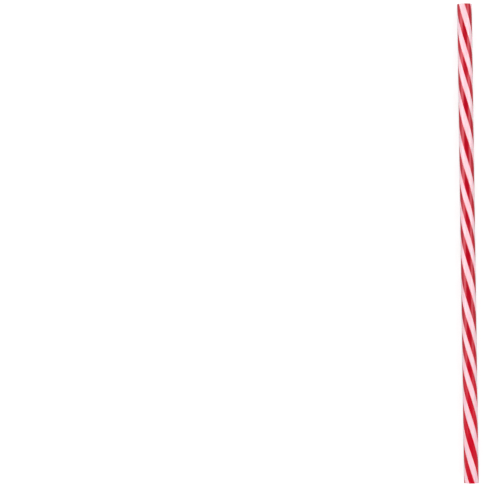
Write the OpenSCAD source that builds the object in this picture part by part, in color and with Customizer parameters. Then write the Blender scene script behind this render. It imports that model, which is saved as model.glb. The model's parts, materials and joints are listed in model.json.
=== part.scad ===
/* [Tube] */
// Length of the straw from cut end to cut end
straw_length = 228.6; // [150:0.1:300]
// Outside diameter
outer_d = 7; // [6:0.1:12]
// Wall thickness
wall = 0.7; // [0.5:0.05:1.2]
// Rounding of the edges at both cut ends
edge_r = 0.1; // [0.05:0.01:0.2]

/* [Stripes] */
// Length of straw in which a stripe goes once round it
stripe_lead = 71.1; // [50:0.1:150]
// Depth of the red plastic at a stripe's edges
skin = 0.12; // [0.05:0.01:0.3]

/* [Hidden] */
$fn = 96;

outer_r = outer_d / 2;
bore_r = outer_r - wall;

// Four red stripes run side by side, each with its own width. Each row gives
// a stripe's middle at the foot of the straw, in degrees round it from the
// line it rests on, and the stripe's width in degrees.
stripes = [[11, 44.5], [97, 40], [180, 44], [275, 52]];
// Turn of a stripe over the whole straw, and the steps it is drawn in
stripe_turn = 360 * straw_length / stripe_lead;
step_deg = 24;
// The seam of the round surfaces lies on top, this far round from the line
// that the straw rests on
seam_deg = 180;

// Half of the wall as it is seen in a cut along the straw
module wall_section() {
    translate([bore_r + edge_r, 0])
        square([wall - 2 * edge_r, straw_length]);
    translate([bore_r, edge_r])
        square([wall, straw_length - 2 * edge_r]);
    for (r = [bore_r + edge_r, outer_r - edge_r])
        for (z = [edge_r, straw_length - edge_r])
            translate([r, z])
                circle(r = edge_r);
}

// The plain extruded tube, upright
module tube() {
    rotate([0, 0, seam_deg])
        rotate_extrude()
            wall_section();
}

// Cross-section of one stripe, from inside the wall to past its outside
module stripe_section(middle, width) {
    inner = outer_r - skin;
    past = outer_d;
    left = middle - width / 2;
    right = middle + width / 2;
    polygon([
        inner * [cos(left), sin(left)],
        past * [cos(left), sin(left)],
        past * [cos(right), sin(right)],
        inner * [cos(right), sin(right)],
    ]);
}

// The room that the red stripes take, winding left-handed along the tube
module stripe_room() {
    for (s = stripes)
        linear_extrude(height = straw_length, twist = stripe_turn,
                       slices = ceil(stripe_turn / step_deg), $fn = 0)
            stripe_section(s[0], s[1]);
}

// One piece of plastic: a milky tube with red stripes flush in its outside.
// It lies along X with its foot end at -X.
module straw() {
    translate([-straw_length / 2, 0, outer_r])
        rotate([0, 90, 0]) {
            color("mistyrose")
                difference() {
                    tube();
                    stripe_room();
                }
            color("crimson")
                intersection() {
                    tube();
                    stripe_room();
                }
        }
}

straw();
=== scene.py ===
"""A reusable striped plastic straw, lying on a pale studio floor and seen from above."""
import json
import logging
import math
from dataclasses import dataclass, field
from enum import IntEnum
from typing import Any, Union

import bpy
from mathutils import Matrix, Vector

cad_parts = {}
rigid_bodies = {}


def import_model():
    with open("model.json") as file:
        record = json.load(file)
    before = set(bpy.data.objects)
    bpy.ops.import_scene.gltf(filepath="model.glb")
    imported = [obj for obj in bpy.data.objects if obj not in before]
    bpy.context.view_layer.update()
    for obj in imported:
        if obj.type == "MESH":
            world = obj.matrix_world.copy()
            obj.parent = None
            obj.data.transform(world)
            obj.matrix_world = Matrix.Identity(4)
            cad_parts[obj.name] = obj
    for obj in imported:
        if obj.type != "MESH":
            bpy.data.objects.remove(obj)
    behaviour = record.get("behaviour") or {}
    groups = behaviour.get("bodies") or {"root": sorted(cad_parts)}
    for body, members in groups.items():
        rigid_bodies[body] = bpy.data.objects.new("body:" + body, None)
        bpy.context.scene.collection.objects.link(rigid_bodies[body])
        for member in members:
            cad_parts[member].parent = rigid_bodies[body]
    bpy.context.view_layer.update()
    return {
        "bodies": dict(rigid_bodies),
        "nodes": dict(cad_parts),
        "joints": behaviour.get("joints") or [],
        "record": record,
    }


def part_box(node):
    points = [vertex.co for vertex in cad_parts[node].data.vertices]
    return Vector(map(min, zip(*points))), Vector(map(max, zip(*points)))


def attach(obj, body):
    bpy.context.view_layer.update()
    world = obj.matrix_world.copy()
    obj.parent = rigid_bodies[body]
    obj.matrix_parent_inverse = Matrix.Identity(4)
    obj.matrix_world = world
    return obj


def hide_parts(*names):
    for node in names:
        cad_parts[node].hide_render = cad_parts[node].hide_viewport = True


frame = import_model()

LOG = logging.getLogger("straw")
MM = 0.001
Colour = tuple[float, float, float]
Paint = Union[Colour, bpy.types.NodeSocket]
Value = Union["Signal", float]


# Shader graphs


class Signal:
    """A number that runs through a shader graph, so that formulas can be written as they are read."""

    def __init__(self, graph: "Graph", socket: bpy.types.NodeSocket) -> None:
        """Wraps a socket.

        Args:
            graph: The graph that the socket belongs to.
            socket: The output socket that carries the number.
        """
        self.graph = graph
        self.socket = socket

    def __add__(self, other: Value) -> "Signal":
        """Returns the sum."""
        return self.graph.math("ADD", self, other)

    def __radd__(self, other: Value) -> "Signal":
        """Returns the sum, with the number first."""
        return self.graph.math("ADD", other, self)

    def __sub__(self, other: Value) -> "Signal":
        """Returns the difference."""
        return self.graph.math("SUBTRACT", self, other)

    def __rsub__(self, other: Value) -> "Signal":
        """Returns the difference, with the number first."""
        return self.graph.math("SUBTRACT", other, self)

    def __mul__(self, other: Value) -> "Signal":
        """Returns the product."""
        return self.graph.math("MULTIPLY", self, other)

    def __rmul__(self, other: Value) -> "Signal":
        """Returns the product, with the number first."""
        return self.graph.math("MULTIPLY", other, self)


class Graph:
    """The node tree of one material or of the world, emptied and ready to be built."""

    def __init__(self, tree: bpy.types.NodeTree) -> None:
        """Empties the tree.

        Args:
            tree: The node tree to build in.
        """
        self.tree = tree
        tree.nodes.clear()

    def node(self, kind: str, settings: dict[str, Any] | None = None, **sockets: Any) -> bpy.types.Node:
        """Adds a node of any type.

        Args:
            kind: The node's type, without the ShaderNode in front.
            settings: The node's own settings, which are made first.
            sockets: Values or links of its inputs, by name, with _ for a space, or by number as i0, i1.

        Returns:
            The new node.
        """
        node = self.tree.nodes.new("ShaderNode" + kind)
        for name, value in (settings or {}).items():
            setattr(node, name, value)
        for name, value in sockets.items():
            number = name[1:]
            key = int(number) if name[0] == "i" and number.isdigit() else name.replace("_", " ")
            self._feed(node.inputs[key], value)
        return node

    def _feed(self, target: bpy.types.NodeSocket, value: Any) -> None:
        """Links or sets one input.

        Args:
            target: The input socket.
            value: A signal, an output socket, a number, a colour or a vector.
        """
        if isinstance(value, Signal):
            self.tree.links.new(value.socket, target)
        elif isinstance(value, bpy.types.NodeSocket):
            self.tree.links.new(value, target)
        elif target.type == "RGBA":
            target.default_value = (*value, 1.0)
        else:
            target.default_value = value

    def math(self, operation: str, first: Value, second: Value = 0.0) -> Signal:
        """Adds a Math node.

        Args:
            operation: The Math node's operation.
            first: The first value.
            second: The second value.

        Returns:
            The result as a signal.
        """
        node = self.node("Math", {"operation": operation}, i0=first, i1=second)
        return Signal(self, node.outputs[0])

    def clamped(self, value: Signal) -> Signal:
        """Returns the signal held between 0 and 1."""
        return Signal(self, self.node("Clamp", Value=value).outputs[0])

    def smooth(self, value: Value, low: float, high: float) -> Signal:
        """Eases a value from 0 at one limit to 1 at the other.

        Args:
            value: The value to read.
            low: Where the result is 0.
            high: Where the result is 1.

        Returns:
            A signal from 0 to 1.
        """
        node = self.node("MapRange", {"interpolation_type": "SMOOTHSTEP"},
                         Value=value, From_Min=low, From_Max=high)
        return Signal(self, node.outputs[0])

    def mix(self, share: Value, first: Paint, second: Paint) -> bpy.types.NodeSocket:
        """Mixes two colours.

        Args:
            share: How much of the second colour there is, from 0 to 1.
            first: A colour or a colour socket.
            second: A colour or a colour socket.

        Returns:
            The mixed colour's socket.
        """
        node = self.node("Mix", {"data_type": "RGBA"}, i0=share, i6=first, i7=second)
        return node.outputs[2]

    def attribute(self, name: str) -> Signal:
        """Reads a number that the mesh stores at each of its points.

        Args:
            name: The attribute's name.

        Returns:
            The number as a signal.
        """
        node = self.node("Attribute", {"attribute_type": "GEOMETRY", "attribute_name": name})
        return Signal(self, node.outputs["Fac"])

    def place(self, name: str | None = None) -> bpy.types.NodeSocket:
        """Reads a place on the mesh.

        Args:
            name: The attribute that holds it, or None for the object's own coordinates.

        Returns:
            The vector socket.
        """
        if name is None:
            return self.node("TexCoord").outputs["Object"]
        node = self.node("Attribute", {"attribute_type": "GEOMETRY", "attribute_name": name})
        return node.outputs["Vector"]

    def noise(self, place: bpy.types.NodeSocket, density: tuple[float, float, float],
              detail: float) -> Signal:
        """Adds a noise field.

        Args:
            place: The vector socket that it is read at.
            density: How many features there are in a metre each way.
            detail: How many finer layers it has.

        Returns:
            The field as a signal around 0.5.
        """
        scaled = self.node("VectorMath", {"operation": "MULTIPLY"}, i0=place, i1=density)
        node = self.node("TexNoise", {"noise_dimensions": "3D"},
                         Vector=scaled.outputs[0], Scale=1.0, Detail=detail, Roughness=0.5)
        return Signal(self, node.outputs[0])

    def seen(self, gloss_share: Value) -> Signal:
        """Tells what the camera looks at from what only lights the straw.

        Args:
            gloss_share: How much of the backdrop shows in reflections, from 0 to 1.

        Returns:
            A signal that is 1 straight from the camera and through clear plastic.
        """
        path = self.node("LightPath").outputs
        camera, glossy, through = (Signal(self, path[name]) for name in
                                   ("Is Camera Ray", "Is Glossy Ray", "Is Transmission Ray"))
        return self.clamped(camera + through + glossy * gloss_share)


# Finishes


@dataclass(frozen=True)
class DrawnLines:
    """Fine lines that are drawn into the plastic along one of its ways."""

    across: float
    """Lines in a metre round the straw."""
    along: float
    """Changes in a metre along them."""
    detail: float
    """How many finer layers they have."""

    def field(self, graph: Graph, place: bpy.types.NodeSocket) -> Signal:
        """Builds the lines as a field.

        Args:
            graph: The material's graph.
            place: The vector socket that they run in, with the way of the lines as its X.

        Returns:
            A signal around 0.5.
        """
        return graph.noise(place, (self.along, self.across, self.across), self.detail)


@dataclass(frozen=True)
class GlossyPlastic:
    """The plastic that all of the straw is made of, with what its finishes share."""

    name: str
    streaks: DrawnLines = DrawnLines(1300.0, 16.0, 3.0)
    """Uneven colour, which winds with the stripes."""
    streak_start: float = 0.45
    """Value of their field at which a streak starts to show."""
    streak_full: float = 0.72
    """Value at which it is strongest."""
    ripples: DrawnLines = DrawnLines(900.0, 9.0, 3.5)
    """Shallow ripples of the surface, straight along the straw."""
    ripple_depth: float = 0.010 * MM
    """Height of the deepest ripple."""
    dull_spots: DrawnLines = DrawnLines(160.0, 160.0, 3.0)
    """Soft patches where handling has dulled the gloss, as wide as they are long."""
    dull_share: float = 0.6
    """How far the patches decide the roughness, where the ripples decide the rest."""
    roughness: float = 0.14
    """Roughness of the smoothest stretches."""
    scuff: float = 0.10
    """How much rougher the dullest stretches are."""
    refraction: float = 1.5
    """Index of refraction of the plastic."""
    gleam: float = 0.5
    """Strength of its highlights, where 0.5 is what the refraction gives."""
    gleam_tint: Colour = (1.0, 1.0, 1.0)
    """Colour of its highlights."""
    milkiness: float = 0.0
    """Share of the light that goes into the plastic and comes out beside where it went in."""
    scatter: tuple[float, float, float] = (0.4 * MM, 0.22 * MM, 0.25 * MM)
    """How far red, green and blue light get inside it."""

    def colour(self, graph: Graph) -> Paint:
        """Gives the plastic's colour over the surface.

        Args:
            graph: The material's graph.

        Returns:
            A colour or a colour socket.
        """
        raise NotImplementedError

    def streaked(self, graph: Graph) -> Signal:
        """Gives the streaks, as a signal that is 0 between them and 1 in the strongest."""
        lines = self.streaks.field(graph, graph.place(StrawTube.UNWOUND))
        return graph.smooth(lines, self.streak_start, self.streak_full)

    def material(self) -> bpy.types.Material:
        """Builds the material.

        Returns:
            The new material.
        """
        made = bpy.data.materials.new(self.name)
        made.use_nodes = True
        graph = Graph(made.node_tree)
        ripples = self.ripples.field(graph, graph.place())
        spots = self.dull_spots.field(graph, graph.place())
        dullness = graph.clamped(spots * self.dull_share + ripples * (1.0 - self.dull_share))
        bump = graph.node("Bump", Height=ripples, Distance=self.ripple_depth, Strength=1.0)
        shader = graph.node(
            "BsdfPrincipled",
            Base_Color=self.colour(graph),
            Roughness=self.roughness + self.scuff * dullness,
            IOR=self.refraction,
            Specular_IOR_Level=self.gleam,
            Specular_Tint=self.gleam_tint,
            Subsurface_Weight=self.milkiness,
            Subsurface_Radius=self.scatter,
            Subsurface_Scale=1.0,
            Normal=bump.outputs[0],
        )
        graph.node("OutputMaterial", Surface=shader.outputs[0])
        return made


@dataclass(frozen=True)
class RedSkin(GlossyPlastic):
    """The red stripes: a thin coloured skin that thins out towards its edges."""

    name: str = "red_skin"
    deep: Colour = (0.440, 0.0012, 0.0125)
    """Colour of the middle of a stripe."""
    bright: Colour = (0.565, 0.0012, 0.0155)
    """Colour of it near the foot, where the red is lighter."""
    thin: Colour = (0.72, 0.055, 0.085)
    """Colour where the skin runs out and the milky plastic shines through."""
    feather: float = 0.20
    """Width of the thin edge, in millimetres."""
    edge_share: float = 0.8
    """How thin the skin is at the very edge, where 1 is the thinnest."""
    streak_share: float = 0.28
    """How thin it is in the palest streaks."""
    bright_end: float = 30 * MM
    """How far from the foot the red stays bright."""
    deep_start: float = 80 * MM
    """How far from the foot it is deep."""
    gleam: float = 0.95
    gleam_tint: Colour = (1.0, 0.47, 0.54)

    def colour(self, graph: Graph) -> Paint:
        """Gives the red, paler at the stripe's edges and along its streaks."""
        edge = 1.0 - graph.smooth(graph.attribute(StrawTube.FROM_EDGE), 0.0, self.feather)
        thinness = graph.clamped(edge * self.edge_share + self.streaked(graph) * self.streak_share)
        along = graph.attribute(StrawTube.ALONG)
        red = graph.mix(graph.smooth(along, self.bright_end, self.deep_start), self.bright, self.deep)
        return graph.mix(thinness, red, self.thin)


@dataclass(frozen=True)
class MilkyBase(GlossyPlastic):
    """The milky white plastic between the stripes, pinker beside the red, with painted pink light from the
    red on the far side of the tube.
    """

    name: str = "milky_base"
    milkiness: float = 1.0
    body: Colour = (0.955, 0.645, 0.695)
    # Colour of the middle of a white stripe: milky white with painted pink light from the red on the far
    # side of the tube.
    """Colour of the middle of a white stripe."""
    blush: Colour = (0.92, 0.48, 0.54)
    """Colour right beside a red stripe."""
    cool: Colour = (0.80, 0.615, 0.71)
    """Colour of the cooler, greyer streaks."""
    reach: float = 0.42
    """How far the blush reaches, in millimetres."""
    blush_share: float = 0.75
    """How strong the blush is right at the red."""
    cool_share: float = 0.7
    """How strong the coolest streaks are."""
    streak_full: float = 0.70

    def colour(self, graph: Graph) -> Paint:
        """Gives the white with its painted pink light, pinker beside the red and cooler in soft streaks."""
        beside = graph.smooth(graph.attribute(StrawTube.FROM_EDGE), -self.reach, 0.0)
        # The body colour is milky white with painted pink light from the red on the far side of the tube.
        white = graph.mix(self.streaked(graph) * self.cool_share, self.body, self.cool)
        return graph.mix(beside * self.blush_share, white, self.blush)


@dataclass(frozen=True)
class BoreWall(GlossyPlastic):
    """The inside of the straw, where the red of the outer skin shows through the thin wall, with painted red
    light that shines in through it.
    """

    name: str = "bore_wall"
    milkiness: float = 1.0
    scatter: tuple[float, float, float] = (2.8 * MM, 1.7 * MM, 1.8 * MM)
    roughness: float = 0.22
    body: Colour = (0.93, 0.74, 0.79)
    """Colour behind the white stripes."""
    glow: Colour = (0.86, 0.43, 0.48)
    # Colour behind the red stripes: their red seen through the wall, with painted red light shining in
    # through it.
    """Colour behind the red stripes."""
    blur: float = 0.55
    """How far the edge of the glow is blurred to each side, in millimetres."""

    def colour(self, graph: Graph) -> Paint:
        """Gives the inside, pinker behind the red stripes, where it holds painted red light shining in
        through the wall.
        """
        behind = graph.smooth(graph.attribute(StrawTube.FROM_EDGE), -self.blur, self.blur)
        # Behind the red stripes the colour holds painted red light that shines in through the wall.
        return graph.mix(behind, self.body, self.glow)


@dataclass(frozen=True)
class CutFace(BoreWall):
    """The narrow ring that the knife leaves at each end."""

    name: str = "cut_face"
    scatter: tuple[float, float, float] = GlossyPlastic.scatter
    roughness: float = 0.34
    scuff: float = 0.2
    body: Colour = (0.94, 0.76, 0.80)
    """Colour beside the white stripes."""
    glow: Colour = (0.88, 0.46, 0.50)
    """Colour under the red stripes."""
    blur: float = 0.25
    """How far the edge of the glow is blurred to each side, in millimetres."""


# The straw


class Zone(IntEnum):
    """Which finish a stretch of the straw takes, as its material slot."""

    RED = 0
    MILKY = 1
    BORE = 2
    CUT = 3


@dataclass(frozen=True)
class Stripe:
    """One red stripe, in degrees round the straw at its foot, from the line it rests on."""

    middle: float
    width: float


@dataclass(frozen=True)
class Winding:
    """How the stripes wind round the straw: left-handed, and tighter at the foot."""

    lead_foot: float = 68.8 * MM
    """Length in which a stripe goes once round the straw, at the foot."""
    lead_head: float = 73.7 * MM
    """The same length at the head."""

    def turned(self, along: float, length: float) -> float:
        """Tells how far a stripe has turned.

        Args:
            along: Distance from the foot.
            length: Length of the straw.

        Returns:
            The angle from the stripe's place at the foot, in radians. It is negative, because the
            stripes wind left-handed.
        """
        slackening = (1 / self.lead_head - 1 / self.lead_foot) / (2 * length)
        return -math.tau * (along / self.lead_foot + slackening * along ** 2)


@dataclass(frozen=True)
class Wander:
    """How the edges of the stripes stray from a true winding, as two waves laid over each other."""

    reach: float = 0.9
    """How far an edge strays at most, in degrees."""
    slow: float = 9.1 * MM
    """Length in which the slow wave runs one radian."""
    quick: float = 4.3 * MM
    """Length in which the quick wave does."""
    quick_share: float = 0.6
    """Height of the quick wave, where the slow one's is 1."""
    slow_lag: float = 2.4
    """How far each edge's slow wave is ahead of the one before, in radians."""
    quick_lag: float = -4.08
    """How far its quick wave is."""

    def at(self, edge: int, along: float) -> float:
        """Tells how far an edge strays.

        Args:
            edge: The edge's number round the straw.
            along: Distance from the foot.

        Returns:
            The angle in degrees.
        """
        slow = math.sin(along / self.slow + self.slow_lag * edge)
        quick = math.sin(along / self.quick + self.quick_lag * edge)
        return self.reach * (slow + self.quick_share * quick) / (1 + self.quick_share)


@dataclass(frozen=True)
class Station:
    """One ring of points on the wall's outline, which is walked round once as a closed loop."""

    along: float
    """Distance from the foot."""
    radius: float
    zone: Zone
    """Finish of the stretch that follows. RED stands for the striped outside."""
    loose: float = 0.0
    """Share of the cut's unevenness that the ring follows."""
    skin: bool = False
    """Whether the ring lies where the red skin ends on the cut face."""


@dataclass
class StrawTube:
    """The straw: one extruded tube with stripes flush in its outside."""

    ALONG = "along"
    """Attribute that holds the distance from the foot."""
    FROM_EDGE = "from_edge"
    """Attribute that holds the millimetres from a stripe's edge: over 0 in the red, under 0 in the white."""
    UNWOUND = "unwound"
    """Attribute that holds the place that each point has once the stripes are unwound."""

    length: float
    outer_radius: float
    bore_radius: float
    axis_height: float
    edge_radius: float
    winding: Winding = field(default_factory=Winding)
    stripes: tuple[Stripe, ...] = (Stripe(11, 44.5), Stripe(97, 40), Stripe(180, 44), Stripe(275, 52))
    skin_edge: float = 0.05 * MM
    """Depth of the red skin at a stripe's edges."""
    skin_middle: float = 0.16 * MM
    """Depth of the red skin in the middle of a stripe."""
    wander: Wander = field(default_factory=Wander)
    uneven: float = 0.03 * MM
    """How uneven the cut is."""
    outer_step: float = 1.2 * MM
    """Length of a face on the outside, about."""
    bore_step: float = 1.6 * MM
    """Length of a face in the bore, about."""
    round_step: float = 3.75
    """Greatest width of a face, in degrees round the straw."""
    edge_steps: int = 4
    """How many faces there are over a rounded edge."""
    piece: bpy.types.Object | None = None

    @classmethod
    def from_frame(cls, packed: dict[str, Any]) -> "StrawTube":
        """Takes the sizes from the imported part.


        Returns:
            The straw, not built yet.
        """
        low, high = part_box("straw")
        mounts = {mount["name"]: mount for mount in packed["record"]["mounts"]}
        length = high[0] - low[0]
        outside, bore = mounts["outside"], mounts["bore"]
        return cls(
            length=length,
            outer_radius=outside["dims"]["r_mm"] * MM,
            bore_radius=bore["dims"]["r_mm"] * MM,
            axis_height=bore["pos_m"][2],
            edge_radius=(length - outside["dims"]["length_mm"] * MM) / 2,
        )

    def edges(self) -> list[float]:
        """Lists the stripes' edges at the foot, in degrees, as start and end of each stripe."""
        found = []
        for stripe in self.stripes:
            found += [stripe.middle - stripe.width / 2, stripe.middle + stripe.width / 2]
        return found + [found[0] + 360]

    def edge_at(self, number: int, along: float) -> float:
        """Finds a stripe's edge.

        Args:
            number: The edge's number in edges().
            along: Distance from the foot.

        Returns:
            The edge's angle in radians, with what it strays.
        """
        edges = self.edges()
        strayed = edges[number] + self.wander.at(number % (len(edges) - 1), along)
        return math.radians(strayed) + self.winding.turned(along, self.length)

    def columns(self) -> list[tuple[int, float]]:
        """Lists the columns of points round the straw, each as its band's number and its share of it."""
        edges = self.edges()
        found = []
        for band, (start, end) in enumerate(zip(edges, edges[1:])):
            steps = math.ceil((end - start) / self.round_step)
            found += [(band, step / steps) for step in range(steps)]
        return found

    def stations(self) -> list[Station]:
        """Walks round the wall's outline: out along the outside, over the head, back and over the foot."""
        rounding, length = self.edge_radius, self.length
        outer_rim, inner_rim = self.outer_radius - rounding, self.bore_radius + rounding
        middle = (self.outer_radius + self.bore_radius) / 2
        span = length - 2 * rounding
        rows, back_rows = round(span / self.outer_step), round(span / self.bore_step)
        outside = [Station(rounding + span * row / rows, self.outer_radius, Zone.RED)
                   for row in range(rows + 1)]
        head = [
            Station(length, outer_rim, Zone.RED, 1.0),
            Station(length, outer_rim, Zone.CUT, 1.0, True),
            Station(length, middle, Zone.CUT, 1.0),
            Station(length, inner_rim, Zone.CUT, 1.0),
        ]
        inside = [Station(length - rounding - span * row / back_rows, self.bore_radius, Zone.BORE)
                  for row in range(back_rows + 1)]
        foot = [
            Station(0.0, inner_rim, Zone.CUT, 1.0),
            Station(0.0, middle, Zone.CUT, 1.0),
            Station(0.0, outer_rim, Zone.RED, 1.0, True),
            Station(0.0, outer_rim, Zone.RED, 1.0),
        ]
        return (outside + self._rounding(True, True) + head + self._rounding(True, False)
                + inside + self._rounding(False, False) + foot + self._rounding(False, True))

    def _rounding(self, at_head: bool, outer: bool) -> list[Station]:
        """Rounds one edge of a cut end.

        Args:
            at_head: Whether the edge is at the head or at the foot.
            outer: Whether it is the outer or the inner edge.

        Returns:
            The rings between its ends, in the order of the walk.
        """
        end, back = (self.length, -self.edge_radius) if at_head else (0.0, self.edge_radius)
        surface, into_wall = ((self.outer_radius, -self.edge_radius) if outer
                              else (self.bore_radius, self.edge_radius))
        found = []
        for step in range(1, self.edge_steps):
            turn = math.pi / 2 * step / self.edge_steps
            to_end, to_surface = math.sin(turn), math.cos(turn)
            if at_head != outer:
                to_end, to_surface = to_surface, to_end
            found.append(Station(end + back * (1 - to_end), surface + into_wall * (1 - to_surface),
                                 Zone.RED if outer else Zone.BORE, to_end))
        return found

    def skin_depth(self, share: float) -> float:
        """Gives the depth of the red skin.

        Args:
            share: Place across the stripe, from 0 at one edge to 1 at the other.

        Returns:
            The depth, from the outside inwards.
        """
        return self.skin_edge + (self.skin_middle - self.skin_edge) * math.sin(math.pi * share)

    def cut_depth(self, angle: float) -> float:
        """Gives how far the uneven cut goes in, as two long waves and five short ones round the straw.

        Args:
            angle: Place round the straw, in radians.

        Returns:
            The depth, from the plane that the end touches.
        """
        long_share, ahead = 0.6, 0.8
        long_waves = long_share * math.sin(2 * angle + ahead)
        short_waves = (1 - long_share) * math.sin(5 * angle)
        return self.uneven * (1 + long_waves + short_waves) / 2

    def build(self) -> None:
        """Builds the mesh, with its stripes along its own faces and what the finishes read."""
        stations, columns = self.stations(), self.columns()
        points, unwound, along_m, from_edge, slots = [], [], [], [], []
        for station in stations:
            turned = self.winding.turned(station.along, self.length)
            for band, share in columns:
                start, end = (self.edge_at(number, station.along) for number in (band, band + 1))
                angle = start + (end - start) * share
                radius = station.radius - (self.skin_depth(share) if station.skin else 0.0)
                inwards = station.loose * self.cut_depth(angle)
                along = min(max(station.along, inwards), self.length - inwards)
                points.append((along - self.length / 2, radius * math.sin(angle),
                               self.axis_height - radius * math.cos(angle)))
                still = angle - turned
                unwound += [along, station.radius * math.sin(still), station.radius * math.cos(still)]
                along_m.append(station.along)
                near = min(share, 1 - share) * (end - start) * self.outer_radius / MM
                is_red = band % 2 == 0
                from_edge.append(near if is_red else -near)
                striped = Zone.RED if is_red else Zone.MILKY
                slots.append(int(striped if station.zone == Zone.RED else station.zone))
        self._make_piece(points, self._faces(len(stations), len(columns)))
        mesh = self.piece.data
        mesh.polygons.foreach_set("material_index", slots)
        for name, values in ((self.ALONG, along_m), (self.FROM_EDGE, from_edge)):
            mesh.attributes.new(name, "FLOAT", "POINT").data.foreach_set("value", values)
        mesh.attributes.new(self.UNWOUND, "FLOAT_VECTOR", "POINT").data.foreach_set("vector", unwound)

    @staticmethod
    def _faces(rings: int, width: int) -> list[tuple[int, int, int, int]]:
        """Joins the rings of points.

        Args:
            rings: How many rings there are.
            width: How many points each has.

        Returns:
            The faces, ring by ring, each with its outside out.
        """
        faces = []
        for ring in range(rings):
            here, there = ring * width, (ring + 1) % rings * width
            for column in range(width):
                beside = (column + 1) % width
                faces.append((here + column, here + beside, there + beside, there + column))
        return faces

    def _make_piece(self, points: list[tuple[float, float, float]],
                    faces: list[tuple[int, int, int, int]]) -> None:
        """Makes the object from its points and faces.

        Args:
            points: The mesh's points.
            faces: The mesh's faces.
        """
        mesh = bpy.data.meshes.new("straw_tube")
        mesh.from_pydata(points, [], faces)
        mesh.shade_smooth()
        self.piece = bpy.data.objects.new("straw_tube", mesh)
        bpy.context.collection.objects.link(self.piece)

    def dress(self) -> None:
        """Gives each zone its finish, in the order of Zone."""
        for finish in (RedSkin(), MilkyBase(), BoreWall(), CutFace()):
            self.piece.data.materials.append(finish.material())

    def place(self) -> None:
        """Puts the straw where its solid is, on the same body."""
        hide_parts("straw")
        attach(self.piece, "root")


# The studio


@dataclass(frozen=True)
class SoftBox:
    """A flat, evenly bright studio lamp that shines at the straw."""

    name: str
    centre: tuple[float, float, float]
    width: float
    height: float
    brightness: float
    """How bright its face is, where 1 is white."""
    colour: Colour = (1.0, 1.0, 1.0)

    def build(self, target: Vector) -> None:
        """Makes the lamp.

        Args:
            target: The point that it faces.
        """
        lamp = bpy.data.lights.new(self.name, "AREA")
        lamp.shape = "RECTANGLE"
        lamp.size, lamp.size_y = self.width, self.height
        lamp.energy = self.brightness * math.pi * self.width * self.height
        lamp.color = self.colour
        made = bpy.data.objects.new(self.name, lamp)
        made.visible_camera = False
        away = Vector(self.centre) - target
        facing = away.to_track_quat("Z", "Y").to_matrix().to_4x4()
        made.matrix_world = Matrix.Translation(self.centre) @ facing
        bpy.context.collection.objects.link(made)


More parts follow.
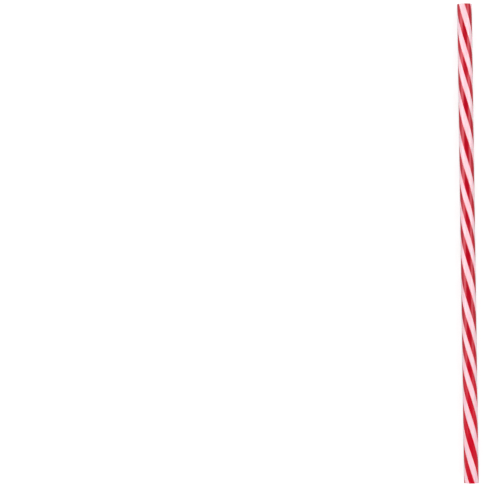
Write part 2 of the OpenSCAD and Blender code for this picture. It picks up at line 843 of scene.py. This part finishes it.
@dataclass
class Studio:
    """The pale floor, the soft lamps and the room round them."""

    floor_half: float = 12.0
    """Half of the floor's width."""
    floor_grey: float = 0.32
    """How much light the floor gives back."""
    floor_lift: float = 0.74
    """What is added where the floor itself is seen, so that it shows white."""
    floor_gloss: float = 0.35
    """Share of that which is seen in reflections."""
    floor_near: float = 0.3
    """How far from the middle the floor starts to need more of it, as the lamps' light falls off."""
    floor_far: float = 1.0
    """Where it is white by itself."""
    walls: float = 0.16
    """How bright the room is near the horizon."""
    ceiling: float = 0.05
    """How bright it is overhead."""
    walls_top: float = 0.45
    """Height at which the walls start to dim, as the sine of its angle over the horizon."""
    ceiling_edge: float = 0.85
    """Height at which the ceiling starts."""
    room_gloss: float = 0.1
    """Share of the white backdrop near the horizon that is seen in reflections."""
    boxes: tuple[SoftBox, ...] = (
        SoftBox("left_box", (0.14, 0.52, 0.27), 0.50, 0.46, 2.95),
        SoftBox("right_box", (0.14, -0.44, 0.40), 0.50, 0.38, 2.85),
        SoftBox("head_box", (0.75, 0.0, 0.55), 1.8, 0.5, 1.9),
        SoftBox("foot_box", (-0.75, 0.0, 0.55), 1.8, 0.5, 3.0),
    )

    def build(self) -> None:
        """Builds the floor, the room and the lamps."""
        self._build_floor()
        self._build_room()
        for box in self.boxes:
            box.build(Vector((0.0, 0.0, 0.0)))
            LOG.info("%s: %.2f by %.2f m", box.name, box.width, box.height)

    def _build_floor(self) -> None:
        """Lays the floor, which shows white where it is seen and keeps the straw's shadow."""
        half = self.floor_half
        mesh = bpy.data.meshes.new("floor")
        mesh.from_pydata([(-half, -half, 0), (half, -half, 0), (half, half, 0), (-half, half, 0)],
                         [], [(0, 1, 2, 3)])
        floor = bpy.data.objects.new("floor", mesh)
        bpy.context.collection.objects.link(floor)
        material = bpy.data.materials.new("pale_floor")
        material.use_nodes = True
        graph = Graph(material.node_tree)
        spread = graph.node("VectorMath", {"operation": "LENGTH"}, i0=graph.place()).outputs["Value"]
        far = graph.smooth(Signal(graph, spread), self.floor_near, self.floor_far)
        lift = graph.seen(self.floor_gloss) * (self.floor_lift + far * (1.0 - self.floor_lift))
        matt = graph.node("BsdfDiffuse", Color=(self.floor_grey,) * 3)
        glow = graph.node("Emission", Color=(1.0, 1.0, 1.0), Strength=lift)
        both = graph.node("AddShader", i0=matt.outputs[0], i1=glow.outputs[0])
        graph.node("OutputMaterial", Surface=both.outputs[0])
        mesh.materials.append(material)
        LOG.info("%s: %.0f m wide", floor.name, 2 * half)

    def _build_room(self) -> None:
        """Makes the room: grey walls all round, a dim ceiling, and white wherever the camera sees it."""
        world = bpy.data.worlds.new("room")
        bpy.context.scene.world = world
        world.use_nodes = True
        graph = Graph(world.node_tree)
        towards = graph.node("TexCoord").outputs["Generated"]
        height = Signal(graph, graph.node("SeparateXYZ", Vector=towards).outputs["Z"])
        overhead = graph.smooth(height, self.walls_top, self.ceiling_edge)
        lit = self.walls + overhead * (self.ceiling - self.walls)
        seen = graph.seen(self.room_gloss * (1.0 - overhead))
        background = graph.node("Background", Color=(1.0, 1.0, 1.0), Strength=lit + seen * (1.0 - lit))
        graph.node("OutputWorld", Surface=background.outputs[0])


@dataclass
class Camera:
    """A long lens straight over the middle of the picture."""

    straw: StrawTube
    frame_px: tuple[int, int] = (498, 494)
    head_px: tuple[float, float] = (464.4, 3.3)
    """Where the straw's head ends in the picture."""
    foot_px: tuple[float, float] = (471.4, 483.7)
    """Where its foot ends."""
    height: float = 0.95
    """Height above the straw's axis."""
    sensor: float = 36.0
    """Width of the sensor, in millimetres."""

    def build(self) -> None:
        """Makes the camera and hangs it so that the straw lies where the picture has it."""
        across = self.foot_px[0] - self.head_px[0]
        down = self.foot_px[1] - self.head_px[1]
        length_px = math.hypot(across, down)
        lean = math.atan2(across, down)
        nearest = self.height - self.straw.outer_radius
        focal_px = length_px * nearest / self.straw.length
        metres_per_px = self.height / focal_px
        middle_x = (self.head_px[0] + self.foot_px[0]) / 2 - self.frame_px[0] / 2
        middle_y = self.frame_px[1] / 2 - (self.head_px[1] + self.foot_px[1]) / 2
        right = Vector((-math.sin(lean), -math.cos(lean), 0.0))
        up = Vector((math.cos(lean), -math.sin(lean), 0.0))
        aim = -(right * middle_x + up * middle_y) * metres_per_px
        lens = bpy.data.cameras.new("camera")
        lens.sensor_width = self.sensor
        lens.lens = focal_px / self.frame_px[0] * self.sensor
        made = bpy.data.objects.new("camera", lens)
        turn = Matrix((right, up, Vector((0.0, 0.0, 1.0)))).transposed().to_4x4()
        spot = Vector((aim.x, aim.y, self.straw.axis_height + self.height))
        made.matrix_world = Matrix.Translation(spot) @ turn
        bpy.context.collection.objects.link(made)
        bpy.context.scene.camera = made


def main() -> None:
    """Builds the camera, the straw and the studio, and reports each piece."""
    logging.basicConfig(level=logging.INFO, format="%(message)s")
    bpy.context.scene.view_settings.view_transform = "Standard"
    straw = StrawTube.from_frame(frame)
    Camera(straw).build()
    straw.build()
    straw.dress()
    straw.place()
    LOG.info("%s: %d faces", straw.piece.name, len(straw.piece.data.polygons))
    Studio().build()


if __name__ == "__main__":
    main()
